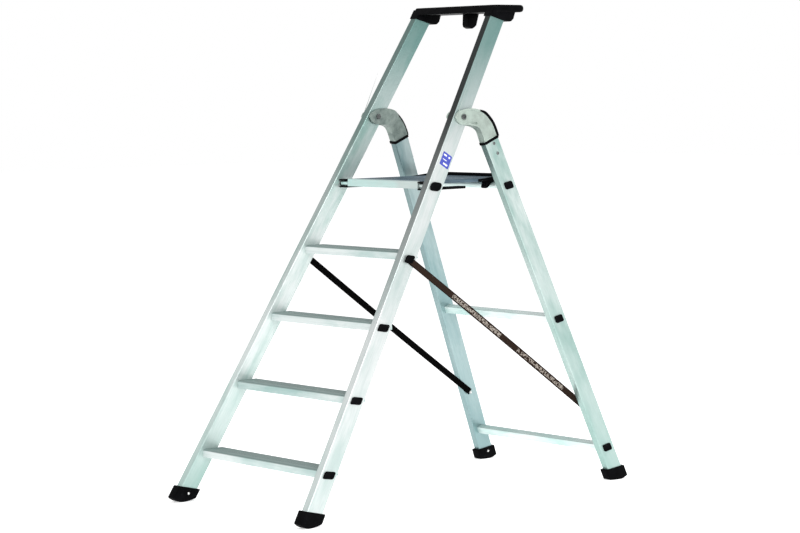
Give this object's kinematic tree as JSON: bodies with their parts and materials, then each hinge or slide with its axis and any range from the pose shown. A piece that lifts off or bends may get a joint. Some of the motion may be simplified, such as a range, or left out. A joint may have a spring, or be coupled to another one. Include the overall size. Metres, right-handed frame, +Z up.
{
  "type": "folding platform step ladder",
  "caption": "Folding aluminium platform step ladder with ribbed treads, a hinged standing platform, a high guard with tool tray, gooseneck hinges, rear rungs and check straps.",
  "frame": {"origin": "on the floor at the middle of the footprint of the open ladder", "axes": "+Z up, +X across the ladder to the right of someone climbing it, +Y from the climbing side to the rear legs"},
  "size_m": [0.761, 1.5692, 1.74],
  "materials": {
    "aluminium": "satin extruded",
    "tread_aluminium": "satin, ribbed",
    "deck_aluminium": "matt, ribbed",
    "cast_aluminium": "cast, slightly rough",
    "black_plastic": "moulded, fine grain",
    "rubber": "matt",
    "steel": "bright zinc",
    "webbing": "woven",
    "label": "printed film"
  },
  "bodies": {
    "front_frame": {"front_stile_r": "aluminium", "front_stile_l": "aluminium", "step_1": "tread_aluminium", "step_2": "tread_aluminium", "step_3": "tread_aluminium", "step_4": "tread_aluminium", "step_cap_1_r": "black_plastic", "step_cap_1_l": "black_plastic", "step_cap_2_r": "black_plastic", "step_cap_2_l": "black_plastic", "step_cap_3_r": "black_plastic", "step_cap_3_l": "black_plastic", "strap_anchor_front_r": "black_plastic", "strap_anchor_front_l": "black_plastic", "platform_pivot_r": "black_plastic", "platform_pivot_l": "black_plastic", "tool_tray": "black_plastic", "tray_lug": "black_plastic", "front_foot_r": "rubber", "front_foot_l": "rubber", "front_foot_rivet_r": "steel", "front_foot_rivet_l": "steel", "hinge_bolt_r": "steel", "hinge_bolt_l": "steel", "stile_label": "label", "strap_r": "webbing", "strap_l": "webbing"},
    "rear_frame": {"hinge_bracket_r": "cast_aluminium", "hinge_bracket_l": "cast_aluminium", "hinge_trim_r": "black_plastic", "hinge_trim_l": "black_plastic", "rear_stile_r": "aluminium", "rear_stile_l": "aluminium", "hinge_rivet_upper_r": "steel", "hinge_rivet_upper_l": "steel", "hinge_rivet_lower_r": "steel", "hinge_rivet_lower_l": "steel", "rear_rung_upper": "aluminium", "rear_rung_lower": "aluminium", "rung_cap_upper_r": "black_plastic", "rung_cap_upper_l": "black_plastic", "rung_cap_lower_r": "black_plastic", "rung_cap_lower_l": "black_plastic", "rest_bar": "aluminium", "rest_bar_cap_r": "black_plastic", "rest_bar_cap_l": "black_plastic", "rear_foot_r": "rubber", "rear_foot_l": "rubber", "rear_foot_rivet_r": "steel", "rear_foot_rivet_l": "steel", "strap_anchor_rear_r": "steel", "strap_anchor_rear_l": "steel"},
    "platform": {"platform_deck": "deck_aluminium", "platform_nosing": "aluminium", "platform_rear_strip": "black_plastic", "platform_bracket_r": "black_plastic", "platform_bracket_l": "black_plastic", "platform_claw_r": "black_plastic", "platform_claw_l": "black_plastic"}
  },
  "joints": [
    {"name": "rear_fold", "type": "hinge", "parent": "front_frame", "child": "rear_frame", "pos_m": [0, 0.08042, 1.34455], "axis": [-1, 0, 0], "range_deg": [0, 53.55], "deforming": ["strap_r", "strap_l"]},
    {"name": "platform_tilt", "type": "hinge", "parent": "front_frame", "child": "platform", "pos_m": [0, -0.06973, 1.10402], "axis": [1, 0, 0], "range_deg": [0, 59]}
  ],
  "couplings": [
    {"joint": "platform_tilt", "follows": "rear_fold", "ratio": 1.1014}
  ]
}
